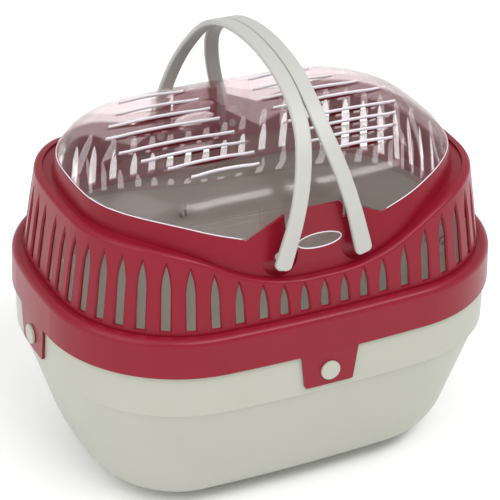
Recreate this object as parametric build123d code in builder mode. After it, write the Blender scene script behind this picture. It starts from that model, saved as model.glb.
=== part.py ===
from build123d import *
import os
from math import asin, atan2, cos, hypot, pi, radians, sin, sqrt

# A small-animal carrier, 400 mm long: a cream tub, a dark red slotted shell that snaps over it,
# a clear domed lid, and two hoop handles that stand up together or fold down to each side.
# Origin at the centre of the tub's underside, +X along the length, -Y the front, +Z up.

# Plan outline at the skirt's bottom edge: eight tangent arcs
LENGTH = 400.0
WIDTH = 296.0
CORNER_R = 116.0
SIDE_BOW_R = 1540.0
END_BOW_R = 464.0

# Tub
TUB_WALL = 2.5
TUB_STEP_Z = 121.0
TUB_STEP = 1.9
TUB_TAPER = 0.32
TUB_BOTTOM_R = 60.0

# Skirt of the shell, which laps over the tub's rim
SKIRT_Z = 158.0
SKIRT_HEIGHT = 33.0
SKIRT_DRAFT = 1.2
SKIRT_SHOULDER_R = 6.0
SHELL_WALL = 2.4
SEAT_GAP = 0.2
LAP_GAP = 0.4

# Slotted wall and the bead along its top
WALL_STEP = 11.0
WALL_LEAN = 0.16
FOOT_GROOVE_WIDTH = 1.8
FOOT_GROOVE_DEPTH = 0.9
BEAD_LOW = 62.0
BEAD_HIGH = 103.0
BEAD_FLAT = 10.0
BEAD_END = LENGTH / 2 - 40.0
BEAD_WIDTH = 6.5
BEAD_R = 3.0
GROOVE_DEPTH = 1.8

# Collar inside the bead, which carries the lid
COLLAR_STEP = 24.0
COLLAR_LEAN = 0.25
COLLAR_ROUNDING = 12.0
RIM_LOW = 96.5
RIM_HIGH = 116.5
RIM_CORNER = LENGTH / 2 - 77.0
RIM_CORNER_R = 165.0
EAR_FOOT = 60.0
EAR_TIP = 27.0
EAR_HEIGHT = 111.0

# Slots in the wall
SLOT_WIDTH = 7.3
SLOT_SILL = 36.0
SLOT_REACH = 0.83
SLOT_POINT = 22.0
SLOT_POINT_SHARE = 0.75
SLOT_FLARE = 1.3
SLOT_FLARE_DEPTH = 1.4
SLOT_PITCHES = [(17.8, 3), (20.3, 5), (18.35, 6)]
SLOT_END_SHARE = 0.9581

# Latch panel at the middle of the front and of the back
PANEL_HALF = 24.0
PANEL_FACE = WIDTH / 2 - 25.0
PANEL_LEAN = 4.0
PANEL_WALL = 2.6
PANEL_FOOT = 58.0
TONGUE_HALF = 20.5
TONGUE_FOOT = 100.0
TONGUE_TOP = 118.0
TONGUE_CORNER_R = 5.0
WINDOW_LENGTH = 40.0
WINDOW_HEIGHT = 13.6
WINDOW_Z = 88.0

# Tabs and snap buttons that hold the shell to the tub
TAB_TOP_HALF = 25.5
TAB_FOOT_HALF = 21.5
TAB_DROP = 31.0
TAB_CORNER_R = 2.0
TAB_INSET = 0.3
BUTTON_DROP = 17.4
BUTTON_R = 8.4
BUTTON_HEIGHT = 2.4
BUTTON_EDGE_R = 1.1
BUTTON_SHANK_R = 4.0
BUTTON_HOLE_R = 4.2
BUTTON_BARB = 1.0
BUTTON_BARB_LENGTH = 5.0
BUTTON_SPLIT = 2.0

# Clear lid
LID_WALL = 2.2
LID_TOP = 140.0
LID_SHOULDER_R = 37.0
LID_SEAT_GAP = 0.3
LID_SETBACK = 0.5
BAY_HALF = 43.0
BAY_FACE = WIDTH / 2 - 42.1
BAY_FOOT = 76.0
BOSS_REACH = WIDTH / 2 - 33.4
BOSS_PLAY = 0.6
LID_SLOT_WIDTH = 10.0
LID_FIRST_ROW = 14.0
LID_LAST_ROW = WIDTH / 2 - 74.0
LID_SLOT_TIPS = [(20.0, 70.0), (20.0, 81.0), (22.0, 96.0), (28.0, 108.0)]

# Handles
PIVOT_X = 34.7
PIVOT_Z = 79.6
HANDLE_FACE = WIDTH / 2 - 16.5
HANDLE_APEX = 217.4
HANDLE_WIDTH = 12.8
HANDLE_THICK = 5.0
HANDLE_GAP = 0.4
HANDLE_CORNER_R = 112.0
HANDLE_TOP_R = 190.0
HANDLE_LEAN = 15.3
HANDLE_BEND_R = 133.0
HANDLE_EDGE_R = 1.8
HANDLE_FOOT_HALF = 7.3
HANDLE_FOOT_DROP = 6.9
HANDLE_FOOT_R = 4.8
HANDLE_FLARE = 40.0
PIN_R = 3.4
PIN_PLAY = 0.06
PIN_END = WIDTH / 2 - 34.4
POCKET_R = 15.5
POCKET_FLOOR = WIDTH / 2 - 28.6
PIVOT_BOSS_R = 8.0
PIVOT_BOSS_END = WIDTH / 2 - 33.4


def plan_arcs(inset, rounding=0):
    """Radii, centres and turning angles of the plan outline moved inwards by inset."""
    corner_r = CORNER_R + rounding - inset
    side_r = SIDE_BOW_R - inset
    end_r = END_BOW_R - inset
    side_y = WIDTH / 2 - SIDE_BOW_R
    end_x = LENGTH / 2 - END_BOW_R
    reach_side = side_r - corner_r
    reach_end = end_r - corner_r
    span = hypot(end_x, side_y)
    along = (reach_side**2 - reach_end**2 + span**2) / (2 * span)
    off = sqrt(reach_side**2 - along**2)
    corner_x = (end_x * along - side_y * off) / span
    corner_y = side_y + (-side_y * along - end_x * off) / span
    turn_end = atan2(corner_y, corner_x - end_x)
    turn_side = atan2(corner_y - side_y, corner_x)
    return corner_r, side_r, end_r, side_y, end_x, corner_x, corner_y, turn_end, turn_side


def plan_face(height, inset, rounding):
    """Plan outline moved inwards by inset, as a face at the given height."""
    arcs = plan_arcs(inset, rounding)
    corner_r, side_r, end_r, side_y, end_x, corner_x, corner_y, turn_end, turn_side = arcs
    turn_mid = (turn_end + turn_side) / 2
    on_end = (end_x + end_r * cos(turn_end), end_r * sin(turn_end))
    on_side = (side_r * cos(turn_side), side_y + side_r * sin(turn_side))
    middle = (corner_x + corner_r * cos(turn_mid), corner_y + corner_r * sin(turn_mid))
    with BuildSketch(Plane.XY.offset(height)) as face:
        with BuildLine():
            for sx, sy in ((1, 1), (-1, 1), (-1, -1), (1, -1)):
                ThreePointArc(
                    (sx * on_end[0], sy * on_end[1]),
                    (sx * middle[0], sy * middle[1]),
                    (sx * on_side[0], sy * on_side[1]),
                )
            for s in (1, -1):
                crown = (0, s * (side_y + side_r))
                tip = (s * (end_x + end_r), 0)
                ThreePointArc((-on_side[0], s * on_side[1]), crown, (on_side[0], s * on_side[1]))
                ThreePointArc((s * on_end[0], -on_end[1]), tip, (s * on_end[0], on_end[1]))
        make_face()
    return face.sketch.face()


def on_outline(inset, distance):
    """Point and outward angle on the outline, at a distance from the middle of the long side."""
    corner_r, side_r, end_r, side_y, end_x, corner_x, corner_y, turn_end, turn_side = plan_arcs(inset)
    side_run = side_r * (pi / 2 - turn_side)
    corner_run = corner_r * (turn_side - turn_end)
    if distance < side_run:
        turn = pi / 2 - distance / side_r
        return side_r * cos(turn), side_y + side_r * sin(turn), turn
    if distance < side_run + corner_run:
        turn = turn_side - (distance - side_run) / corner_r
        return corner_x + corner_r * cos(turn), corner_y + corner_r * sin(turn), turn
    turn = turn_end - (distance - side_run - corner_run) / end_r
    return end_x + end_r * cos(turn), end_r * sin(turn), turn


def tapered(low, low_inset, high, high_inset, rounding=0):
    """Solid between the plan outline at two heights, each with its own inset."""
    with BuildPart() as block:
        loft([plan_face(low, low_inset, rounding), plan_face(high, high_inset, rounding)], ruled=True)
    return block.part


def leaning(low, high, inset_at, offset=0):
    """Solid of the collar's rounder outline, whose inset at each height comes from a function."""
    return tapered(low, inset_at(low) + offset, high, inset_at(high) + offset, COLLAR_ROUNDING)


def saddle_points(low, high, flat, end):
    """Ends and middles of the two arcs that rise from the low middle to the high end."""
    run, rise = end - flat, high - low
    radius = (run**2 + rise**2) / (4 * rise)
    half_turn = asin(run / 2 / radius) / 2
    return [
        (flat, low),
        (flat + radius * sin(half_turn), low + radius * (1 - cos(half_turn))),
        ((flat + end) / 2, (low + high) / 2),
        (end - radius * sin(half_turn), high - radius * (1 - cos(half_turn))),
        (end, high),
    ]


def saddle_height(x, low, high, flat, end):
    """Height of a saddle's edge at x."""
    run, rise = end - flat, high - low
    radius = (run**2 + rise**2) / (4 * rise)
    x = min(max(abs(x), flat), end)
    if x < flat + run / 2:
        return low + radius - sqrt(radius**2 - (x - flat) ** 2)
    return high - radius + sqrt(radius**2 - (end - x) ** 2)


def under_saddle(low, high, flat, end):
    """Everything below a saddle that dips in the middle, seen from the front."""
    half = LENGTH
    points = saddle_points(low, high, flat, end)
    with BuildPart() as block:
        with BuildSketch(Plane.XZ) as profile:
            with BuildLine():
                for s in (1, -1):
                    p = [(s * x, z) for x, z in points]
                    ThreePointArc(p[0], p[1], p[2])
                    ThreePointArc(p[2], p[3], p[4])
                    Polyline(p[4], (s * half, high), (s * half, 0), (0, 0))
                Line((-flat, low), (flat, low))
            make_face()
        extrude(amount=WIDTH, both=True)
    return block.part


def wall_inset(height):
    """Inset of the slotted wall's outer face."""
    return WALL_STEP + WALL_LEAN * (height - SHOULDER_Z)


def collar_inset(height):
    """Inset of the collar's outer face."""
    return COLLAR_STEP + COLLAR_LEAN * (height - BEAD_LOW_Z)


def panel_y(height):
    """Distance of the latch panel's outer face from the middle plane."""
    return PANEL_FACE - PANEL_LEAN * (height - PANEL_FOOT_Z) / (TONGUE_TOP_Z - PANEL_FOOT_Z)


# Heights above the tub's underside
SHOULDER_Z = SKIRT_Z + SKIRT_HEIGHT
BEAD_LOW_Z = SKIRT_Z + BEAD_LOW
BEAD_HIGH_Z = SKIRT_Z + BEAD_HIGH
RIM_LOW_Z = SKIRT_Z + RIM_LOW
RIM_HIGH_Z = SKIRT_Z + RIM_HIGH
EAR_Z = SKIRT_Z + EAR_HEIGHT
PANEL_FOOT_Z = SKIRT_Z + PANEL_FOOT
TONGUE_FOOT_Z = SKIRT_Z + TONGUE_FOOT
TONGUE_TOP_Z = SKIRT_Z + TONGUE_TOP
WINDOW_CENTRE_Z = SKIRT_Z + WINDOW_Z
PIVOT_HEIGHT = SKIRT_Z + PIVOT_Z
LID_TOP_Z = SKIRT_Z + LID_TOP
BAND_INSET = SHELL_WALL + LAP_GAP
STEP_INSET = BAND_INSET + TUB_STEP
BUTTON_Z = SKIRT_Z - BUTTON_DROP
TUB_TOP_Z = SHOULDER_Z - SHELL_WALL - SEAT_GAP

# Tub: a near-vertical band over a tapered bowl with a large bottom round
with BuildPart() as tub_outside:
    add(tapered(0, STEP_INSET + TUB_TAPER * TUB_STEP_Z, TUB_STEP_Z, STEP_INSET))
    fillet(tub_outside.edges().group_by(Axis.Z)[0], TUB_BOTTOM_R)
    add(tapered(TUB_STEP_Z, BAND_INSET, TUB_TOP_Z, BAND_INSET))

slant = TUB_WALL * sqrt(1 + TUB_TAPER**2)
with BuildPart() as tub_inside:
    add(
        tapered(
            TUB_WALL,
            STEP_INSET + slant + TUB_TAPER * (TUB_STEP_Z - TUB_WALL),
            TUB_STEP_Z + TUB_WALL,
            STEP_INSET + slant - TUB_TAPER * TUB_WALL,
        )
    )
    fillet(tub_inside.edges().group_by(Axis.Z)[0], TUB_BOTTOM_R - TUB_WALL)
    add(tapered(TUB_STEP_Z + TUB_WALL, BAND_INSET + TUB_WALL, TUB_TOP_Z + 1, BAND_INSET + TUB_WALL))

# Shell, outside: skirt, slotted wall below the bead's saddle, collar below the rim's saddle
with BuildPart() as skirt_outside:
    add(tapered(SKIRT_Z, 0, SHOULDER_Z, SKIRT_DRAFT))
    fillet(skirt_outside.edges().group_by(Axis.Z)[-1], SKIRT_SHOULDER_R)

with BuildPart() as foot_groove:
    groove_inset = WALL_STEP - FOOT_GROOVE_WIDTH
    add(tapered(SHOULDER_Z - FOOT_GROOVE_DEPTH, groove_inset, SHOULDER_Z + 1, groove_inset))

with BuildPart() as wall_outside:
    add(tapered(SHOULDER_Z - 2, wall_inset(SHOULDER_Z - 2), BEAD_HIGH_Z + 10, wall_inset(BEAD_HIGH_Z + 10)))
    add(under_saddle(BEAD_LOW_Z, BEAD_HIGH_Z, BEAD_FLAT, BEAD_END), mode=Mode.INTERSECT)
    fillet(wall_outside.edges().filter_by(lambda e: e.center().Z > BEAD_LOW_Z - 1), BEAD_R)

# Groove between the bead and the collar
with BuildPart() as groove:
    inside_bead = (wall_inset(BEAD_LOW_Z - 10) + BEAD_WIDTH, wall_inset(BEAD_HIGH_Z + 10) + BEAD_WIDTH)
    add(tapered(BEAD_LOW_Z - 10, inside_bead[0], BEAD_HIGH_Z + 10, inside_bead[1]))
    low_floor = BEAD_LOW_Z - GROOVE_DEPTH
    high_floor = BEAD_HIGH_Z - GROOVE_DEPTH
    add(under_saddle(low_floor, high_floor, BEAD_FLAT, BEAD_END), mode=Mode.SUBTRACT)


def under_rim(raise_by, gap_edge, gap_profile):
    """Everything below the collar's rim: straight slopes down to a sharp foot, then up along the ear to
    the edge of the middle gap, whose half profile is a list of points from that edge to the middle."""
    low, high = RIM_LOW_Z + raise_by, RIM_HIGH_Z + raise_by
    up_ear = (EAR_FOOT - gap_edge) / (EAR_FOOT - EAR_TIP)
    with BuildPart() as block:
        with BuildSketch(Plane.XZ) as profile:
            with BuildLine():
                for s in (1, -1):
                    FilletPolyline((s * EAR_FOOT, low), (s * RIM_CORNER, high), (s * LENGTH, high), radius=RIM_CORNER_R)
                    Polyline((s * LENGTH, high), (s * LENGTH, 0), (0, 0))
                    ear_top = low + up_ear * (EAR_HEIGHT - RIM_LOW)
                    Polyline((s * EAR_FOOT, low), (s * gap_edge, ear_top), *[(s * x, z) for x, z in gap_profile])
            make_face()
        extrude(amount=WIDTH, both=True)
    return block.part


with BuildPart() as collar_outside:
    add(leaning(PANEL_FOOT_Z - 6, RIM_HIGH_Z + 10, collar_inset))
    add(under_rim(0, EAR_TIP, [(EAR_TIP, TONGUE_FOOT_Z), (0, TONGUE_FOOT_Z)]), mode=Mode.INTERSECT)

# Latch panels, front and back: a leaning plate whose tongue has a round top edge and round corners
TONGUE_EDGE_R = PANEL_WALL / 2
with BuildPart() as panels:
    with BuildSketch(Plane.YZ) as panel_profile:
        for s in (1, -1):
            with BuildLine():
                foot, top = panel_y(PANEL_FOOT_Z), panel_y(TONGUE_TOP_Z)
                Polyline(
                    (s * foot, PANEL_FOOT_Z),
                    (s * top, TONGUE_TOP_Z - TONGUE_EDGE_R),
                    (s * (top - PANEL_WALL), TONGUE_TOP_Z - TONGUE_EDGE_R),
                    (s * (foot - PANEL_WALL), PANEL_FOOT_Z),
                    close=True,
                )
            make_face()
            with Locations((s * (top - PANEL_WALL / 2), TONGUE_TOP_Z - TONGUE_EDGE_R)):
                Circle(TONGUE_EDGE_R)
    extrude(amount=PANEL_HALF, both=True)
    for s in (1, -1):
        with Locations((s * (PANEL_HALF + TONGUE_HALF) / 2, 0, TONGUE_FOOT_Z + 15)):
            Box(PANEL_HALF - TONGUE_HALF, WIDTH, 30, mode=Mode.SUBTRACT)
    with BuildSketch(Plane.XZ):
        for s in (1, -1):
            corner = TONGUE_CORNER_R
            with Locations((s * (TONGUE_HALF - corner / 2 + 0.5), TONGUE_TOP_Z - corner / 2 + 0.5)):
                Rectangle(corner + 1, corner + 1)
        with Locations((TONGUE_HALF - corner, TONGUE_TOP_Z - corner), (corner - TONGUE_HALF, TONGUE_TOP_Z - corner)):
            Circle(corner, mode=Mode.SUBTRACT)
    extrude(amount=WIDTH, both=True, mode=Mode.SUBTRACT)

# Shell, inside
thickness = SHELL_WALL * sqrt(1 + COLLAR_LEAN**2)
with BuildPart() as shell_inside:
    add(tapered(SKIRT_Z - 1, SHELL_WALL, SHOULDER_Z - SHELL_WALL, SHELL_WALL))
    add(
        tapered(
            SHOULDER_Z - SHELL_WALL - 1,
            wall_inset(SHOULDER_Z) + thickness,
            BEAD_HIGH_Z + 10,
            wall_inset(BEAD_HIGH_Z + 10) + thickness,
        )
    )
    under = SHELL_WALL + GROOVE_DEPTH
    add(under_saddle(BEAD_LOW_Z - under, BEAD_HIGH_Z - under, BEAD_FLAT, BEAD_END), mode=Mode.INTERSECT)
    add(leaning(BEAD_LOW_Z - 20, RIM_HIGH_Z + 12, collar_inset, thickness))

# Slots: flat-footed, pointed at the top, with flared edges that leave rounded ribs between them. They
# are spaced along the outline and grow taller towards the ends.
sill_arcs = plan_arcs(wall_inset(SKIRT_Z + SLOT_SILL))
quarter = (
    sill_arcs[1] * (pi / 2 - sill_arcs[8])
    + sill_arcs[0] * (sill_arcs[8] - sill_arcs[7])
    + sill_arcs[2] * sill_arcs[7]
)
spread = SLOT_END_SHARE * quarter / sum(pitch * count for pitch, count in SLOT_PITCHES)
slot_places = [0.0]
for pitch, count in SLOT_PITCHES:
    for _ in range(count):
        slot_places.append(slot_places[-1] + pitch * spread)


def slot_face(plane, tall, point, grow):
    """Outline of a slot on a plane whose origin is the middle of its sill, grown outwards by grow."""
    half = SLOT_WIDTH / 2
    arc_r = (point**2 + half**2) / SLOT_WIDTH
    middle_x, base = half - arc_r, tall - point
    peak = base + sqrt((arc_r + grow) ** 2 - middle_x**2)
    bend = asin((peak - base) / (arc_r + grow)) / 2
    flank = (middle_x + (arc_r + grow) * cos(bend), base + (arc_r + grow) * sin(bend))
    edge, sill = half + grow, -grow / 2
    with BuildSketch(plane) as face:
        with BuildLine():
            Polyline((-edge, base), (-edge, sill), (edge, sill), (edge, base))
            ThreePointArc((edge, base), flank, (0, peak))
            ThreePointArc((-edge, base), (-flank[0], flank[1]), (0, peak))
        make_face()
    return face.sketch.face()


def slot_cutter(place, sx, sy):
    """Cutter for the slot at a distance along the outline, in the quarter given by the signs."""
    sill = SKIRT_Z + SLOT_SILL
    x, y, turn = on_outline(wall_inset(sill), place)
    bead_z = saddle_height(x, BEAD_LOW_Z, BEAD_HIGH_Z, BEAD_FLAT, BEAD_END)
    tall = SLOT_REACH * (bead_z - sill) * sqrt(1 + WALL_LEAN**2)
    point = min(SLOT_POINT, SLOT_POINT_SHARE * tall)
    along = (-sy * sin(turn), sx * cos(turn), 0)
    wall = Plane(origin=(sx * x, sy * y, sill), x_dir=along, z_dir=(sx * cos(turn), sy * sin(turn), WALL_LEAN))
    with BuildPart() as cutter:
        extrude(slot_face(wall.offset(0.5), tall, point, 0), amount=-(0.5 + SHELL_WALL + 1.5))
        flare_top = SLOT_FLARE * (SLOT_FLARE_DEPTH + 0.5) / SLOT_FLARE_DEPTH
        inner, outer = wall.offset(-SLOT_FLARE_DEPTH), wall.offset(0.5)
        loft([slot_face(inner, tall, point, 0), slot_face(outer, tall, point, flare_top)], ruled=True)
    return cutter.part


slot_cutters = []
for place in slot_places:
    for sx, sy in ((1, 1), (-1, 1), (-1, -1), (1, -1)) if place else ((1, 1), (1, -1)):
        slot_cutters.append(slot_cutter(place, sx, sy))

# Tabs: thin tongues of the skirt that reach down over the tub, front, back and at both ends
with BuildPart() as tab_ring:
    add(tapered(SKIRT_Z - TAB_DROP - 1, TAB_INSET, SKIRT_Z + 2, TAB_INSET))
    add(tapered(SKIRT_Z - TAB_DROP - 2, SHELL_WALL, SKIRT_Z + 3, SHELL_WALL), mode=Mode.SUBTRACT)

tab_planes = [
    (Plane(origin=(0, 0, 0), x_dir=(-sy, sx, 0), z_dir=(sx, sy, 0)), reach)
    for sx, sy, reach in ((1, 0, LENGTH / 2), (0, 1, WIDTH / 2), (-1, 0, LENGTH / 2), (0, -1, WIDTH / 2))
]
with BuildPart() as tabs:
    for plane, reach in tab_planes:
        with BuildSketch(plane.offset(reach - 4 * SHELL_WALL)) as tab_shape:
            with BuildLine():
                Polyline(
                    (-TAB_TOP_HALF, SKIRT_Z + 1),
                    (-TAB_TOP_HALF, SKIRT_Z),
                    (-TAB_FOOT_HALF, SKIRT_Z - TAB_DROP),
                    (TAB_FOOT_HALF, SKIRT_Z - TAB_DROP),
                    (TAB_TOP_HALF, SKIRT_Z),
                    (TAB_TOP_HALF, SKIRT_Z + 1),
                    close=True,
                )
            make_face()
            fillet(tab_shape.vertices().group_by(Axis.Y)[0], TAB_CORNER_R)
        extrude(amount=6 * SHELL_WALL)
    add(tab_ring.part, mode=Mode.INTERSECT)

# Pivot seats for the handles: a cup let into the collar, with the pin's boss behind its floor
front_and_back = (Plane.XZ, Plane.XZ.rotated((0, 0, 180)))
pivot_spots = [(-PIVOT_X, PIVOT_HEIGHT), (PIVOT_X, PIVOT_HEIGHT)]
with BuildPart() as pivot_seats:
    for plane in front_and_back:
        with BuildSketch(plane.offset(POCKET_FLOOR - SHELL_WALL)):
            with Locations(*pivot_spots):
                Circle(POCKET_R + SHELL_WALL)
        extrude(amount=4 * SHELL_WALL)
    add(leaning(PANEL_FOOT_Z - 6, RIM_HIGH_Z + 10, collar_inset), mode=Mode.INTERSECT)
    for plane in front_and_back:
        with BuildSketch(plane.offset(POCKET_FLOOR - SHELL_WALL)):
            with Locations(*pivot_spots):
                Circle(PIVOT_BOSS_R)
        extrude(amount=PIVOT_BOSS_END - POCKET_FLOOR + SHELL_WALL)

with BuildPart() as pivot_cuts:
    for plane in front_and_back:
        with BuildSketch(plane.offset(POCKET_FLOOR)):
            with Locations(*pivot_spots):
                Circle(POCKET_R)
        extrude(amount=WIDTH / 2 - wall_inset(BEAD_LOW_Z) - BEAD_WIDTH - POCKET_FLOOR)
        with BuildSketch(plane.offset(PIVOT_BOSS_END - 1)):
            with Locations(*pivot_spots):
                Circle(PIN_R + PIN_PLAY)
        extrude(amount=POCKET_FLOOR - PIVOT_BOSS_END + 2)

# Behind each latch panel the collar is open, and an oval window goes through the panel
with BuildPart() as latch_cuts:
    with BuildSketch(Plane.YZ):
        for s in (1, -1):
            foot, top = panel_y(PANEL_FOOT_Z) - PANEL_WALL, panel_y(TONGUE_TOP_Z) - PANEL_WALL
            with BuildLine():
                Polyline(
                    (s * foot, PANEL_FOOT_Z + SHELL_WALL),
                    (s * top, TONGUE_TOP_Z),
                    (s * (top - 20), TONGUE_TOP_Z),
                    (s * (top - 20), PANEL_FOOT_Z + SHELL_WALL),
                    close=True,
                )
            make_face()
    extrude(amount=PANEL_HALF - SHELL_WALL, both=True)

with BuildPart() as windows:
    with BuildSketch(Plane.XZ):
        with Locations((0, WINDOW_CENTRE_Z)):
            Ellipse(WINDOW_LENGTH / 2, WINDOW_HEIGHT / 2)
    extrude(amount=WIDTH, both=True)

with BuildPart() as button_holes:
    for plane, reach in tab_planes:
        with BuildSketch(plane.offset(reach - 4 * SHELL_WALL)):
            with Locations((0, BUTTON_Z)):
                Circle(BUTTON_HOLE_R)
        extrude(amount=6 * SHELL_WALL)

with BuildPart() as grille_shell:
    add(skirt_outside.part)
    add(foot_groove.part, mode=Mode.SUBTRACT)
    add(wall_outside.part)
    add(groove.part, mode=Mode.SUBTRACT)
    add(collar_outside.part)
    add(shell_inside.part, mode=Mode.SUBTRACT)
    add(pivot_seats.part)
    add(latch_cuts.part, mode=Mode.SUBTRACT)
    add(panels.part)
    add(tabs.part)
    add(pivot_cuts.part, mode=Mode.SUBTRACT)
    add(windows.part, mode=Mode.SUBTRACT)
    add(button_holes.part, mode=Mode.SUBTRACT)
    add(slot_cutters, mode=Mode.SUBTRACT)

with BuildPart() as base_tub:
    add(tub_outside.part)
    add(tub_inside.part, mode=Mode.SUBTRACT)
    add(button_holes.part, mode=Mode.SUBTRACT)


# Clear lid: a dome that rests on the collar's rim, with a set-back bay behind each latch panel
def lid_inset(height):
    """Inset of the lid's outer face."""
    return collar_inset(height) + LID_SETBACK


lid_low = SKIRT_Z + BAY_FOOT - 2
lid_step = LID_WALL * sqrt(1 + COLLAR_LEAN**2)
with BuildPart() as lid_outside:
    add(leaning(lid_low, LID_TOP_Z, lid_inset))
    fillet(lid_outside.edges().group_by(Axis.Z)[-1], LID_SHOULDER_R)

with BuildPart() as lid_inside:
    add(leaning(lid_low - 1, LID_TOP_Z - LID_WALL, lid_inset, lid_step))
    fillet(lid_inside.edges().group_by(Axis.Z)[-1], LID_SHOULDER_R - LID_WALL)
    for s in (1, -1):
        with Locations((0, s * (BAY_FACE - LID_WALL + 25), LID_TOP_Z)):
            Box(2 * (BAY_HALF + LID_WALL), 50, 4 * LID_TOP, mode=Mode.SUBTRACT)

with BuildPart() as clear_lid:
    add(lid_outside.part)
    for s in (1, -1):
        with Locations((0, s * (BAY_FACE + 25), LID_TOP_Z)):
            Box(2 * BAY_HALF, 50, 4 * LID_TOP, mode=Mode.SUBTRACT)
    add(lid_inside.part, mode=Mode.SUBTRACT)
    bay_profile = [(BAY_HALF, RIM_LOW_Z - 8), (0.5 * BAY_HALF, SKIRT_Z + BAY_FOOT), (0, SKIRT_Z + BAY_FOOT)]
    add(under_rim(LID_SEAT_GAP, BAY_HALF, bay_profile), mode=Mode.SUBTRACT)
    for plane in front_and_back:
        with BuildSketch(plane.offset(BAY_FACE - LID_WALL / 2)):
            with Locations((0, WINDOW_CENTRE_Z)):
                Ellipse(WINDOW_LENGTH / 2 - BOSS_PLAY, WINDOW_HEIGHT / 2 - BOSS_PLAY)
        extrude(amount=BOSS_REACH - BAY_FACE + LID_WALL / 2)
        with BuildSketch(plane.offset(BAY_FACE)):
            with Locations((0, WINDOW_CENTRE_Z)):
                Ellipse(WINDOW_LENGTH / 2 - BOSS_PLAY - LID_WALL, WINDOW_HEIGHT / 2 - BOSS_PLAY - LID_WALL)
        extrude(amount=BOSS_REACH - BAY_FACE, mode=Mode.SUBTRACT)
    row_pitch = (LID_LAST_ROW - LID_FIRST_ROW) / (len(LID_SLOT_TIPS) - 1)
    with BuildSketch(Plane.XY.offset(LID_TOP_Z + 1)):
        for number, (inner, setback) in enumerate(LID_SLOT_TIPS):
            row, outer = LID_FIRST_ROW + number * row_pitch, LENGTH / 2 - setback
            for sx, sy in ((1, 1), (-1, 1), (-1, -1), (1, -1)):
                tips = ((sx * inner, sy * row), (sx * outer, sy * row))
                with BuildLine():
                    for bulge in (LID_SLOT_WIDTH / 2, -LID_SLOT_WIDTH / 2):
                        ThreePointArc(tips[0], (sx * (inner + outer) / 2, sy * row + bulge), tips[1])
                make_face()
    extrude(amount=-30, mode=Mode.SUBTRACT)


# Handles: an arch seen from the side, crossed with a strap that leans to the middle
def arch_face(inset):
    """Face under the handle's arch, seen along the length, moved inwards by inset."""
    top_centre = HANDLE_APEX + SKIRT_Z - HANDLE_TOP_R
    corner_y = HANDLE_FACE - HANDLE_CORNER_R
    corner_z = top_centre + sqrt((HANDLE_TOP_R - HANDLE_CORNER_R) ** 2 - corner_y**2)
    turn = atan2(corner_z - top_centre, corner_y)
    corner_r, top_r = HANDLE_CORNER_R - inset, HANDLE_TOP_R - inset
    foot = PIVOT_HEIGHT - (HANDLE_FOOT_DROP + 2)
    leg = HANDLE_FACE - inset
    meet = (top_r * cos(turn), top_centre + top_r * sin(turn))
    bend = (corner_y + corner_r * cos(turn / 2), corner_z + corner_r * sin(turn / 2))
    with BuildSketch(Plane.YZ) as face:
        with BuildLine():
            for s in (1, -1):
                Polyline((0, foot), (s * leg, foot), (s * leg, corner_z))
                ThreePointArc((s * leg, corner_z), (s * bend[0], bend[1]), (s * meet[0], meet[1]))
            ThreePointArc((-meet[0], meet[1]), (0, top_centre + top_r), meet)
        make_face()
    return face.sketch.face()


lean = radians(HANDLE_LEAN)
half_strap = HANDLE_WIDTH / 2
middle_x = half_strap + HANDLE_GAP / 2
straight = (PIVOT_X - middle_x - HANDLE_BEND_R * (1 - cos(lean))) / sin(lean)


def on_strap(across, along):
    """Point of the left strap's side view, across its middle line and along it from the pivot."""
    return (
        -PIVOT_X + across * cos(lean) + along * sin(lean),
        PIVOT_HEIGHT - across * sin(lean) + along * cos(lean),
    )


with BuildPart() as left_handle:
    extrude(arch_face(0), amount=PIVOT_X + HANDLE_WIDTH, both=True)
    extrude(arch_face(HANDLE_THICK), amount=PIVOT_X + HANDLE_WIDTH, both=True, mode=Mode.SUBTRACT)
    with BuildSketch(Plane.XZ) as strap_side:
        bend_x, bend_z = on_strap(-HANDLE_BEND_R, straight)
        top_z = HANDLE_APEX + SKIRT_Z + 5
        drop, corner = HANDLE_FOOT_DROP, HANDLE_FOOT_R
        with BuildLine():
            for side in (1, -1):
                edge_r = HANDLE_BEND_R + side * half_strap
                start = on_strap(side * half_strap, straight)
                mid = (bend_x + edge_r * cos(lean / 2), bend_z - edge_r * sin(lean / 2))
                end = (bend_x + edge_r, bend_z)
                inner = side * (HANDLE_FOOT_HALF - corner)
                Polyline(
                    on_strap(side * HANDLE_FOOT_HALF, corner - drop),
                    on_strap(side * HANDLE_FOOT_HALF, 0),
                    on_strap(side * half_strap, HANDLE_FLARE),
                    start,
                )
                ThreePointArc(start, mid, end)
                Line(end, (end[0], top_z))
                ThreePointArc(
                    on_strap(side * HANDLE_FOOT_HALF, corner - drop),
                    on_strap(inner + side * corner * sqrt(0.5), corner - drop - corner * sqrt(0.5)),
                    on_strap(inner, -drop),
                )
            Line((-middle_x - half_strap, top_z), (-middle_x + half_strap, top_z))
            Line(on_strap(corner - HANDLE_FOOT_HALF, -drop), on_strap(HANDLE_FOOT_HALF - corner, -drop))
        make_face()
    extrude(amount=WIDTH, both=True, mode=Mode.INTERSECT)
    fillet(left_handle.edges().filter_by(lambda e: abs(e.length - HANDLE_THICK) > 0.05), HANDLE_EDGE_R)
    for plane in front_and_back:
        side = -1 if plane is front_and_back[0] else 1
        with BuildSketch(plane.offset(HANDLE_FACE - HANDLE_THICK)):
            with Locations((side * PIVOT_X, PIVOT_HEIGHT)):
                Circle(PIN_R)
        extrude(amount=PIN_END - HANDLE_FACE + HANDLE_THICK)

with BuildPart() as right_handle:
    mirror(left_handle.part, about=Plane.YZ)

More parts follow.
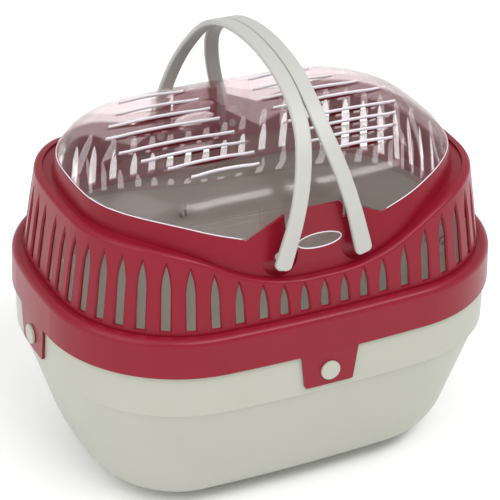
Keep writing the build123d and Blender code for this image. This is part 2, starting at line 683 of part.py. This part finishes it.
# Snap buttons: a domed head, a shank through tab and tub, and a split barb inside
button_length = TUB_WALL + SHELL_WALL - TAB_INSET + (BAND_INSET - SHELL_WALL)
with BuildPart() as snap_button:
    with BuildSketch(Plane.XY):
        Circle(BUTTON_R)
    extrude(amount=BUTTON_HEIGHT)
    fillet(snap_button.edges().group_by(Axis.Z)[-1], BUTTON_EDGE_R)
    with BuildSketch(Plane.XZ):
        grip = button_length + 2 * SEAT_GAP
        with BuildLine():
            Polyline(
                (0, 0),
                (BUTTON_SHANK_R, 0),
                (BUTTON_SHANK_R, -grip),
                (BUTTON_SHANK_R + BUTTON_BARB, -grip),
                (BUTTON_SHANK_R - BUTTON_BARB, -grip - BUTTON_BARB_LENGTH),
                (0, -grip - BUTTON_BARB_LENGTH),
                close=True,
            )
        make_face()
    revolve(axis=Axis.Z)
    with BuildSketch(Plane.XY.offset(-grip - BUTTON_BARB_LENGTH)):
        Rectangle(BUTTON_SPLIT, 4 * BUTTON_SHANK_R)
    extrude(amount=BUTTON_BARB_LENGTH + grip - 1, mode=Mode.SUBTRACT)

button_places = {
    "front": Plane(origin=(0, -WIDTH / 2 + TAB_INSET - SEAT_GAP, BUTTON_Z), x_dir=(1, 0, 0), z_dir=(0, -1, 0)),
    "back": Plane(origin=(0, WIDTH / 2 - TAB_INSET + SEAT_GAP, BUTTON_Z), x_dir=(-1, 0, 0), z_dir=(0, 1, 0)),
    "left": Plane(origin=(-LENGTH / 2 + TAB_INSET - SEAT_GAP, 0, BUTTON_Z), x_dir=(0, -1, 0), z_dir=(-1, 0, 0)),
    "right": Plane(origin=(LENGTH / 2 - TAB_INSET + SEAT_GAP, 0, BUTTON_Z), x_dir=(0, 1, 0), z_dir=(1, 0, 0)),
}

os.makedirs("parts", exist_ok=True)
base_tub.part.label = "base_tub"
grille_shell.part.label = "grille_shell"
clear_lid.part.label = "clear_lid"
left_handle.part.label = "left_handle"
right_handle.part.label = "right_handle"
export_step(base_tub.part, "parts/base_tub.step")
export_step(grille_shell.part, "parts/grille_shell.step")
export_step(clear_lid.part, "parts/clear_lid.step")
export_step(left_handle.part, "parts/left_handle.step")
export_step(right_handle.part, "parts/right_handle.step")
for place, plane in button_places.items():
    button = plane.location * snap_button.part
    button.label = place + "_snap_button"
    export_step(button, "parts/" + place + "_snap_button.step")
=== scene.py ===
# %% [markdown]
# A small-animal carrier, dressed for a studio picture. The modelled parts come in as a fixed frame:
# tub, slotted shell, clear lid, two handles and four snap buttons, all in metres and in their real
# places. What is added here is what a plain solid lacks: plastics that look moulded, three thin
# whitish trims that paint the light along the clear plastic's edges, and the light and the camera
# of the photograph.

import math

import bmesh
import bpy
from mathutils import Matrix, Vector


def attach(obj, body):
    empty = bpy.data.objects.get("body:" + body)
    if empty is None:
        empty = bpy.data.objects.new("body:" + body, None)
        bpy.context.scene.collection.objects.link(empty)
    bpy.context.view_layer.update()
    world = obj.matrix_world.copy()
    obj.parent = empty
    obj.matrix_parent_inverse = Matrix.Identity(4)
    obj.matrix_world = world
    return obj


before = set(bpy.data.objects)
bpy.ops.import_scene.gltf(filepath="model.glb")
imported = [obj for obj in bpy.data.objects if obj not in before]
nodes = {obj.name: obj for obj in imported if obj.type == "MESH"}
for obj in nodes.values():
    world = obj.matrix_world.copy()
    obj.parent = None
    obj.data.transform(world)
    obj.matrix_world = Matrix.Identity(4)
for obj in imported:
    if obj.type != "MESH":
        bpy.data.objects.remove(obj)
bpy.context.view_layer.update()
print("parts:", ", ".join(sorted(nodes)))

# %% [markdown]
# The sizes that the added pieces share with the carrier, in millimetres as a maker would give them.
# Heights are above the tub's underside. Left mirrors right and front mirrors back, so every trim is
# worked out once and mirrored. One function turns a point in millimetres into metres.

# %% Sizes from the carrier
MM = 0.001
LENGTH, WIDTH = 400.0, 296.0
CORNER_R, SIDE_BOW_R, END_BOW_R = 128.0, 1540.0, 464.0
RIM_LOW, RIM_HIGH, RIM_CORNER, RIM_EASE = 254.5, 274.5, 123.0, 25.0
EAR_FOOT, EAR_TIP, EAR_TOP = 60.0, 27.0, 269.0
LID_TOP = 298.0


def metres(x, y, z):
    """A point given in millimetres."""
    return Vector((x, y, z)) * MM


print("lid top at", LID_TOP, "mm, rim from", RIM_LOW, "to", RIM_HIGH, "mm")

# %% [markdown]
# Colours are written as the hex values that a colour picker shows, and one function turns them into
# the linear values that the shader needs. One more function adds any shader node, sets its options
# and links its inputs, so a material reads as a short recipe.

# %% Helpers for materials
def hex_colour(text):
    """Linear RGBA of an sRGB hex value such as C8C9BD."""
    parts = [int(text[i : i + 2], 16) / 255 for i in (0, 2, 4)]
    linear = [c / 12.92 if c <= 0.04045 else ((c + 0.055) / 1.055) ** 2.4 for c in parts]
    return (*linear, 1.0)


def node(tree, kind, settings=(), links=(), **inputs):
    """Adds a node. settings are its options, inputs its values, links its (socket, source) pairs."""
    made = tree.nodes.new(kind)
    for name, value in dict(settings).items():
        setattr(made, name, value)
    for name, value in inputs.items():
        made.inputs[name.replace("_", " ")].default_value = value
    for socket, source in links:
        tree.links.new(source, made.inputs[socket])
    return made


def noise(tree, place, size_mm, detail):
    """The value of a soft noise whose clouds are about as large as the given size."""
    made = node(
        tree,
        "ShaderNodeTexNoise",
        links=[("Vector", place)],
        Scale=1 / (size_mm * MM),
        Detail=detail,
    )
    return made.outputs["Fac"]


def new_material(name):
    """An empty node material with its Principled shader and the object's own coordinates."""
    material = bpy.data.materials.new(name)
    material.use_nodes = True
    tree = material.node_tree
    shader = tree.nodes["Principled BSDF"]
    place = node(tree, "ShaderNodeTexCoord").outputs["Object"]
    return material, tree, shader, place


# %% [markdown]
# The tub, the shell, the handles and the buttons are injection-moulded polypropylene. It is a
# soft, slightly waxy plastic: the mould gives it a very fine satin grain, the colour clouds a
# little where the melt flowed, and walls sink by up to a tenth of a millimetre as they cool, which
# makes highlights waver. Three noises at those three sizes give that to the eye.

# %% Moulded polypropylene
FLOW_MM, SINK_MM, GRAIN_MM = 60.0, 26.0, 0.9
SINK_DEPTH, SINK_SHARE = 0.4 * MM, 0.25
GRAIN_DEPTH, GRAIN_SHARE = 0.05 * MM, 0.12
SATIN_SPREAD = 0.05
POLYPROPYLENE_INDEX = 1.49


def polypropylene(name, colour, clouded, roughness, specular=0.5):
    """A moulded plastic between two shades. Its roughness wavers a little with the grain."""
    material, tree, shader, place = new_material(name)
    flow = noise(tree, place, FLOW_MM, 2.0)
    tint = node(tree, "ShaderNodeMix", {"data_type": "RGBA"}, [("Factor", flow)])
    tint.inputs[6].default_value = hex_colour(colour)
    tint.inputs[7].default_value = hex_colour(clouded)
    tree.links.new(tint.outputs[2], shader.inputs["Base Color"])
    sink = noise(tree, place, SINK_MM, 1.0)
    grain = noise(tree, place, GRAIN_MM, 2.0)
    satin = node(
        tree,
        "ShaderNodeMapRange",
        links=[("Value", grain)],
        To_Min=roughness - SATIN_SPREAD,
        To_Max=roughness + SATIN_SPREAD,
    )
    tree.links.new(satin.outputs[0], shader.inputs["Roughness"])
    wavy = node(
        tree,
        "ShaderNodeBump",
        links=[("Height", sink)],
        Strength=SINK_SHARE,
        Distance=SINK_DEPTH,
    )
    fine = node(
        tree,
        "ShaderNodeBump",
        links=[("Height", grain), ("Normal", wavy.outputs["Normal"])],
        Strength=GRAIN_SHARE,
        Distance=GRAIN_DEPTH,
    )
    tree.links.new(fine.outputs["Normal"], shader.inputs["Normal"])
    shader.inputs["IOR"].default_value = POLYPROPYLENE_INDEX
    shader.inputs["Specular IOR Level"].default_value = specular
    return material


cream_pp = polypropylene("moulded_polypropylene_cream", "ABACA0", "A5A699", roughness=0.40)
red_pp = polypropylene(
    "moulded_polypropylene_dark_red",
    "820F25",
    "7A0D20",
    roughness=0.30,
    specular=0.28,
)
white_pp = polypropylene("moulded_polypropylene_off_white", "B0B0AB", "AAAAA4", roughness=0.42)
print("plastics:", cream_pp.name, red_pp.name, white_pp.name)

# %% [markdown]
# The lid is clear polystyrene, polished by its mould. The two faces of its thin sheet are parallel,
# so it hardly bends the view, and its body has an index close to one. The polished skin is a coat
# with the true index of 1.59. It mirrors the white studio at a glancing angle, which makes the dome
# readable. An alpha below one lets the lamps shine into the cabin, as they do through a real clear
# lid. A faint pink cast in its colour and in the tint of what it mirrors is painted red light: it
# stands for the red that the sheet picks up from the shell around it. The same plastic looks white
# where light leaves it through an edge; that light is painted in with a whitish finish for edges.

# %% Clear polystyrene
POLYSTYRENE_INDEX = 1.59
THIN_SHEET_INDEX = 1.06
SKIN_ROUGHNESS = 0.18
MELT_MM, MELT_DEPTH = 35.0, 0.4 * MM


def polystyrene(
    name,
    colour,
    roughness,
    clear,
    alpha=1.0,
    mirror="FFFFFF",
    skin=0.0,
    index=POLYSTYRENE_INDEX,
    ripple=0.3,
):
    """Clear plastic. clear is the share that passes light, mirror the tint of what it reflects,
    skin the weight of the polished coat, ripple how far the surface wavers."""
    material, tree, shader, place = new_material(name)
    melt = noise(tree, place, MELT_MM, 1.0)
    wave = node(
        tree,
        "ShaderNodeBump",
        links=[("Height", melt)],
        Strength=ripple,
        Distance=MELT_DEPTH,
    )
    tree.links.new(wave.outputs["Normal"], shader.inputs["Normal"])
    shader.inputs["Base Color"].default_value = hex_colour(colour)
    shader.inputs["Roughness"].default_value = roughness
    shader.inputs["Transmission Weight"].default_value = clear
    shader.inputs["Alpha"].default_value = alpha
    shader.inputs["Specular Tint"].default_value = hex_colour(mirror)
    shader.inputs["IOR"].default_value = index
    shader.inputs["Coat Weight"].default_value = skin
    shader.inputs["Coat Roughness"].default_value = SKIN_ROUGHNESS
    shader.inputs["Coat IOR"].default_value = POLYSTYRENE_INDEX
    return material


# The pink colour and mirror tint are painted red light from the shell; the plastic itself is clear.
clear_ps = polystyrene(
    "clear_polystyrene",
    "FFE4EA",
    roughness=0.04,
    clear=0.985,
    alpha=0.4,
    mirror="FFE0E6",
    skin=1.0,
    index=THIN_SHEET_INDEX,
)
# A whitish finish that paints the light leaving the clear plastic at its edges: a painted highlight.
painted_edge_highlight = polystyrene(
    "polystyrene_edge_highlight_paint",
    "F6F0F8",
    roughness=0.25,
    clear=0.25,
    ripple=0.1,
)
print("clear plastics:", clear_ps.name, painted_edge_highlight.name)

# %% [markdown]
# Each modelled part takes one finish. The tub and the snap buttons share the cream plastic, the two
# handle straps are a shade whiter, the shell is dark red and the lid is clear.

# %% Dress the modelled parts
finish_of = {
    "base_tub": cream_pp,
    "grille_shell": red_pp,
    "clear_lid": clear_ps,
    "left_handle": white_pp,
    "right_handle": white_pp,
    "front_snap_button": cream_pp,
    "back_snap_button": cream_pp,
    "left_snap_button": cream_pp,
    "right_snap_button": cream_pp,
}
for name, material in finish_of.items():
    mesh = nodes[name].data
    mesh.materials.clear()
    mesh.materials.append(material)
print("dressed", len(finish_of), "parts")

# %% [markdown]
# Three trims are thin whitish bands of painted highlight that follow a path: the lit walls of the
# lid's slots, the rolled edge along the lid's foot, and the clear rim in each latch window. Geometry
# Nodes suit them, because one tree sweeps a profile along any curve, and its inputs set the
# profile's size and finish. A point's radius scales the profile there, so a band can taper towards
# its ends.

# %% A tree that sweeps a profile along a path
ROUND_SIDES = 10


def sweep_tree():
    """Geometry Nodes group: a round or square profile along a curve, then its material. It returns
    the group and the identifiers of its inputs."""
    tree = bpy.data.node_groups.new("sweep_along_path", "GeometryNodeTree")
    face = tree.interface
    face.new_socket("Geometry", in_out="INPUT", socket_type="NodeSocketGeometry")
    sockets = {}
    for name, kind in (
        ("Width", "NodeSocketFloat"),
        ("Height", "NodeSocketFloat"),
        ("Round", "NodeSocketBool"),
        ("Finish", "NodeSocketMaterial"),
    ):
        sockets[name] = face.new_socket(name, in_out="INPUT", socket_type=kind).identifier
    face.new_socket("Geometry", in_out="OUTPUT", socket_type="NodeSocketGeometry")
    given = tree.nodes.new("NodeGroupInput").outputs
    upright = node(
        tree,
        "GeometryNodeSetCurveNormal",
        {"mode": "Z_UP"},
        [("Curve", given["Geometry"])],
    )
    square = node(
        tree,
        "GeometryNodeCurvePrimitiveQuadrilateral",
        links=[("Width", given["Width"]), ("Height", given["Height"])],
    )
    half = node(tree, "ShaderNodeMath", {"operation": "MULTIPLY"}, [(0, given["Width"])])
    half.inputs[1].default_value = 0.5
    ring = node(
        tree,
        "GeometryNodeCurvePrimitiveCircle",
        links=[("Radius", half.outputs[0])],
        Resolution=ROUND_SIDES,
    )
    profile = node(
        tree,
        "GeometryNodeSwitch",
        {"input_type": "GEOMETRY"},
        [("Switch", given["Round"]), ("False", square.outputs[0]), ("True", ring.outputs[0])],
    )
    swept = node(
        tree,
        "GeometryNodeCurveToMesh",
        links=[("Curve", upright.outputs[0]), ("Profile Curve", profile.outputs[0])],
        Fill_Caps=True,
    )
    real = node(tree, "GeometryNodeRealizeInstances", links=[("Geometry", swept.outputs[0])])
    painted = node(
        tree,
        "GeometryNodeSetMaterial",
        links=[("Geometry", real.outputs[0]), ("Material", given["Finish"])],
    )
    tree.links.new(painted.outputs[0], tree.nodes.new("NodeGroupOutput").inputs[0])
    return tree, sockets


sweep, sweep_inputs = sweep_tree()
print("tree inputs:", ", ".join(sweep_inputs))

# %% [markdown]
# A trim starts as a curve with the sweep on it as a modifier. The result is turned into a plain
# mesh, so nothing live is left on the piece, and its faces are made to point outwards. The piece
# then rides on the body that it belongs to, so it moves along when a joint moves.

# %% A trim piece from its paths
def swept_trim(name, paths, closed, width, height, rounded, finish, body):
    """One mesh of bands that rides on a body. A path's points are in metres, each with its share of
    the profile's size."""
    line = bpy.data.curves.new(name + "_path", "CURVE")
    line.dimensions = "3D"
    for path in paths:
        spline = line.splines.new("POLY")
        spline.points.add(len(path) - 1)
        for point, (*place, share) in zip(spline.points, path):
            point.co = (*place, 1.0)
            point.radius = share
        spline.use_cyclic_u = closed
    source = bpy.data.objects.new(name + "_path", line)
    bpy.context.scene.collection.objects.link(source)
    band = source.modifiers.new("sweep", "NODES")
    band.node_group = sweep
    settings = {"Width": width, "Height": height, "Round": rounded, "Finish": finish}
    for key, value in settings.items():
        band[sweep_inputs[key]] = value
    graph = bpy.context.evaluated_depsgraph_get()
    mesh = bpy.data.meshes.new_from_object(source.evaluated_get(graph))
    mesh.name = name
    bpy.data.objects.remove(source)
    work = bmesh.new()
    work.from_mesh(mesh)
    bmesh.ops.recalc_face_normals(work, faces=work.faces)
    work.to_mesh(mesh)
    work.free()
    piece = bpy.data.objects.new(name, mesh)
    bpy.context.scene.collection.objects.link(piece)
    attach(piece, body)
    size = [round(side / MM, 1) for side in piece.dimensions]
    print(name, len(mesh.polygons), "faces", size, "mm")


# %% [markdown]
# The lid's slots get a painted highlight: a thin whitish band, 2.8 mm high, that hangs a little
# below the sheet. Light that runs inside the sheet comes out at the slots' walls, and those that
# face the front shine as white crescents, so only they get the band. The line of sight from above
# the front drops 0.56 mm for each millimetre that it goes back. Towards the two tips the slot's near
# edge therefore hides more and more of the wall, and the band gets lower there, with the slot's own
# width.

# %% Painted highlights on the lit walls of the lid's slots
SLOT_SPANS = ((20.0, 130.0), (20.0, 119.0), (22.0, 104.0), (28.0, 92.0))
FIRST_ROW, ROW_PITCH = 14.0, 20.0
SLOT_BULGE = 4.7
GLINT_HEIGHT, GLINT_THICK, GLINT_DROP = 2.8, 0.5, 0.1
GLINT_STEPS = 24
TIP_SHARE = 0.2
SIGHT_SLOPE = 0.56


def slot_wall(inner, outer, row, side, end):
    """The back wall of a slot with pointed ends, from tip to tip, and how much of it is lit."""
    half, middle = (outer - inner) / 2, (outer + inner) / 2
    radius = (half**2 + SLOT_BULGE**2) / (2 * SLOT_BULGE)
    widest = math.asin(half / radius)
    path = []
    for step in range(1, GLINT_STEPS):
        turn = widest * (2 * step / GLINT_STEPS - 1)
        rise = radius * math.cos(turn) - radius + SLOT_BULGE
        share = min(1.0, TIP_SHARE + 2 * rise * SIGHT_SLOPE / GLINT_HEIGHT)
        x, y = middle + radius * math.sin(turn), end * row + rise
        z = LID_TOP - GLINT_DROP - share * GLINT_HEIGHT / 2
        path.append((*metres(side * x, y, z), share))
    return path


slot_paths = []
for number, (inner, outer) in enumerate(SLOT_SPANS):
    row = FIRST_ROW + ROW_PITCH * number
    for side in (1, -1):
        for end in (1, -1):
            slot_paths.append(slot_wall(inner, outer, row, side, end))
# The bands are painted highlights: whitish strips where the front-facing slot walls shine.
swept_trim(
    "lid_slot_painted_glints",
    slot_paths,
    closed=False,
    width=GLINT_THICK * MM,
    height=GLINT_HEIGHT * MM,
    rounded=False,
    finish=painted_edge_highlight,
    body="lid",
)

# %% [markdown]
# The lid's foot has a small rolled edge that rests just above the collar's rim. Its whitish finish
# paints the line of light that it catches all the way round. Its path is worked out as the rim is
# drawn: eight tangent arcs in plan, moved inwards as the collar leans, at the height of the rim's
# slopes.

# %% The plan outline and the rim's height
# The lid's outer face lies 24.5 mm inside the outline at a height of 220 mm, and leans inwards by a
# quarter of a millimetre for each millimetre above that.
LEAN_FROM, LID_INSET, COLLAR_LEAN = 220.0, 24.5, 0.25
SETTLE_ROUNDS = 4


def on_outline(inset, distance):
    """Point on the carrier's outline, moved inwards by an inset, at a distance along it from the
    middle of the long side."""
    corner_r, side_r, end_r = CORNER_R - inset, SIDE_BOW_R - inset, END_BOW_R - inset
    side_y, end_x = WIDTH / 2 - SIDE_BOW_R, LENGTH / 2 - END_BOW_R
    span = math.hypot(end_x, side_y)
    reach_side, reach_end = side_r - corner_r, end_r - corner_r
    along = (reach_side**2 - reach_end**2 + span**2) / (2 * span)
    off = math.sqrt(reach_side**2 - along**2)
    corner_x = (end_x * along - side_y * off) / span
    corner_y = side_y + (-side_y * along - end_x * off) / span
    turn_end = math.atan2(corner_y, corner_x - end_x)
    turn_side = math.atan2(corner_y - side_y, corner_x)
    side_run = side_r * (math.pi / 2 - turn_side)
    corner_run = corner_r * (turn_side - turn_end)
    if distance < side_run:
        turn = math.pi / 2 - distance / side_r
        return side_r * math.cos(turn), side_y + side_r * math.sin(turn)
    if distance < side_run + corner_run:
        turn = turn_side - (distance - side_run) / corner_r
        return corner_x + corner_r * math.cos(turn), corner_y + corner_r * math.sin(turn)
    turn = max(turn_end - (distance - side_run - corner_run) / end_r, 0.0)
    return end_x + end_r * math.cos(turn), end_r * math.sin(turn)


def rim_height(x):
    """Height of the collar's rim at x: down the ear to its foot, then up the long slope, whose
    upper bend is eased."""
    x = abs(x)
    if x < EAR_FOOT:
        return RIM_LOW + (EAR_TOP - RIM_LOW) * (EAR_FOOT - x) / (EAR_FOOT - EAR_TIP)
    slope = (RIM_HIGH - RIM_LOW) / (RIM_CORNER - EAR_FOOT)
    if x < RIM_CORNER - RIM_EASE:
        return RIM_LOW + slope * (x - EAR_FOOT)
    if x > RIM_CORNER + RIM_EASE:
        return RIM_HIGH
    return RIM_HIGH - slope * (RIM_CORNER + RIM_EASE - x) ** 2 / (4 * RIM_EASE)


def lid_foot(distance, lift):
    """Point on the lid's outer face at a lift above the rim. The height and the place depend on
    each other, so a few rounds settle them."""
    height = RIM_LOW
    for _ in range(SETTLE_ROUNDS):
        x, y = on_outline(LID_INSET + COLLAR_LEAN * (height - LEAN_FROM), distance)
        height = rim_height(x) + lift
    return x, y, height


print("rim from", rim_height(EAR_FOOT), "to", rim_height(LENGTH / 2), "mm high")

# %% [markdown]
# One quarter of the foot is enough, because the other three mirror it. The roll stops beside the
# ears, where the lid meets the latch panel, and each half runs from the front round its end to the
# back.

# %% The lid's rolled foot
FOOT_ROLL, FOOT_LIFT = 0.8, 0.9
FOOT_STEP, FOOT_POINTS = 2.0, 160
EAR_CLEAR, MIDDLE_CLEAR = 3.0, 1.0

quarter = []
for step in range(FOOT_POINTS):
    x, y, z = lid_foot(step * FOOT_STEP, FOOT_LIFT)
    if x > EAR_FOOT + EAR_CLEAR and y > MIDDLE_CLEAR:
        quarter.append((x, y, z))
foot_paths = []
for side in (1, -1):
    front = [(*metres(side * x, -y, z), 1.0) for x, y, z in quarter]
    back = [(*metres(side * x, y, z), 1.0) for x, y, z in reversed(quarter)]
    foot_paths.append(front + back)
# The roll's whitish finish is a painted highlight line along the lid's foot.
swept_trim(
    "lid_foot_painted_highlight",
    foot_paths,
    closed=False,
    width=FOOT_ROLL * MM,
    height=FOOT_ROLL * MM,
    rounded=True,
    finish=painted_edge_highlight,
    body="lid",
)

# %% [markdown]
# Each latch panel has an oval window with a clear rim flush with the red face. A whitish ring
# there is a painted highlight along the rim's edge. The panel leans back a little, so every point
# of the ring is set on the panel's face at its own height.

# %% Painted highlights on the clear rims of the two latch windows
WINDOW_Z, WINDOW_LENGTH, WINDOW_HEIGHT = 246.0, 40.0, 13.6
WINDOW_TRIM, WINDOW_SET_IN = 1.1, 0.4
WINDOW_STEPS = 64
PANEL_FOOT_Z, PANEL_FOOT_Y = 216.0, 123.0
PANEL_RISE, PANEL_LEAN = 60.0, 4.0

window_paths = []
for end in (1, -1):
    path = []
    for step in range(WINDOW_STEPS):
        turn = 2 * math.pi * step / WINDOW_STEPS
        across = (WINDOW_LENGTH - WINDOW_TRIM) / 2 * math.cos(turn)
        height = WINDOW_Z + (WINDOW_HEIGHT - WINDOW_TRIM) / 2 * math.sin(turn)
        face = PANEL_FOOT_Y - PANEL_LEAN * (height - PANEL_FOOT_Z) / PANEL_RISE
        path.append((*metres(across, end * (face - WINDOW_SET_IN), height), 1.0))
    window_paths.append(path)
# Whitish rings: painted highlights along the clear rims of the windows.
swept_trim(
    "window_rim_painted_highlights",
    window_paths,
    closed=True,
    width=WINDOW_TRIM * MM,
    height=WINDOW_TRIM * MM,
    rounded=True,
    finish=painted_edge_highlight,
    body="carrier",
)

# %% [markdown]
# The photograph is a cut-out on white. A wide pale floor and a pale surround stand in for the
# studio. The surround's shade depends on the height that one looks at: nearly white at the horizon
# and overhead, with a greyer band between, which gives the plastics something darker to mirror. A
# long soft light stands high in front and a weaker one on the left.

# %% Floor and light
FLOOR_REACH = 20.0
SKY_SHADES = ((0.02, 0.86), (0.2, 1.0), (0.3, 1.0), (0.4, 0.55), (0.6, 0.55), (0.8, 1.0))
LIGHT_TARGET = Vector((0, 0, 0.18))

floor_mesh = bpy.data.meshes.new("studio_floor")
corners = [(FLOOR_REACH * x, FLOOR_REACH * y, 0) for x, y in ((-1, -1), (1, -1), (1, 1), (-1, 1))]
floor_mesh.from_pydata(corners, [], [(0, 1, 2, 3)])
floor = bpy.data.objects.new("studio_floor", floor_mesh)
bpy.context.scene.collection.objects.link(floor)
floor_paint, _, floor_shader, _ = new_material("studio_paper_white")
floor_shader.inputs["Base Color"].default_value = hex_colour("FAFAFA")
floor_shader.inputs["Roughness"].default_value = 0.9
floor_mesh.materials.append(floor_paint)

world = bpy.data.worlds.new("studio_white")
bpy.context.scene.world = world
world.use_nodes = True
sky = world.node_tree
aim = node(sky, "ShaderNodeTexCoord").outputs["Generated"]
upwards = node(sky, "ShaderNodeSeparateXYZ", links=[(0, aim)]).outputs["Z"]
walls = node(sky, "ShaderNodeValToRGB", links=[("Fac", upwards)])
stops = walls.color_ramp.elements
stops[0].position = SKY_SHADES[0][0]
stops[1].position = SKY_SHADES[-1][0]
for place, _ in SKY_SHADES[1:-1]:
    stops.new(place)
for stop, (_, shade) in zip(stops, SKY_SHADES):
    stop.color = (shade, shade, shade, 1)
sky.links.new(walls.outputs[0], sky.nodes["Background"].inputs["Color"])
sky.nodes["Background"].inputs["Strength"].default_value = 1.0


def soft_light(name, place, width, height, watts):
    """A wide area light that points at the carrier."""
    data = bpy.data.lights.new(name, "AREA")
    data.shape = "RECTANGLE"
    data.size = width
    data.size_y = height
    data.energy = watts
    lamp = bpy.data.objects.new(name, data)
    bpy.context.scene.collection.objects.link(lamp)
    lamp.location = place
    lamp.rotation_euler = (LIGHT_TARGET - Vector(place)).to_track_quat("-Z", "Y").to_euler()


soft_light("front_softbox", (0.5, -1.35, 2.15), width=2.4, height=0.6, watts=34)
soft_light("left_softbox", (-1.9, -0.5, 1.7), width=2.0, height=2.0, watts=23)

# %% [markdown]
# The camera stands where the photographer stood: 26 degrees to the left of the front, 29 degrees
# up, with a long lens and the frame tipped by just over one degree. The lens is given by its focal
# length in pixels of a square picture, which the sensor's width turns into millimetres.

# %% Camera
CAMERA_PLACE = (-0.63215, -1.27894, 0.97878)
AZIMUTH, ELEVATION, ROLL = (math.radians(angle) for angle in (-26.26, 29.42, 1.29))
SENSOR_WIDTH = 36.0
FOCAL_PIXELS, PICTURE_PIXELS = 1916.2, 500

ground = math.cos(ELEVATION)
back = Vector((math.sin(AZIMUTH) * ground, -math.cos(AZIMUTH) * ground, math.sin(ELEVATION)))
level = Vector((math.cos(AZIMUTH), math.sin(AZIMUTH), 0))
up = back.cross(level)
right = math.cos(ROLL) * level + math.sin(ROLL) * up
over = -math.sin(ROLL) * level + math.cos(ROLL) * up
lens = bpy.data.cameras.new("camera")
lens.sensor_width = SENSOR_WIDTH
lens.lens = SENSOR_WIDTH * FOCAL_PIXELS / PICTURE_PIXELS
camera = bpy.data.objects.new("camera", lens)
bpy.context.scene.collection.objects.link(camera)
facing = Matrix((right, over, back)).transposed().to_4x4()
camera.matrix_world = Matrix.Translation(CAMERA_PLACE) @ facing
bpy.context.scene.camera = camera
bpy.context.scene.view_settings.view_transform = "Standard"
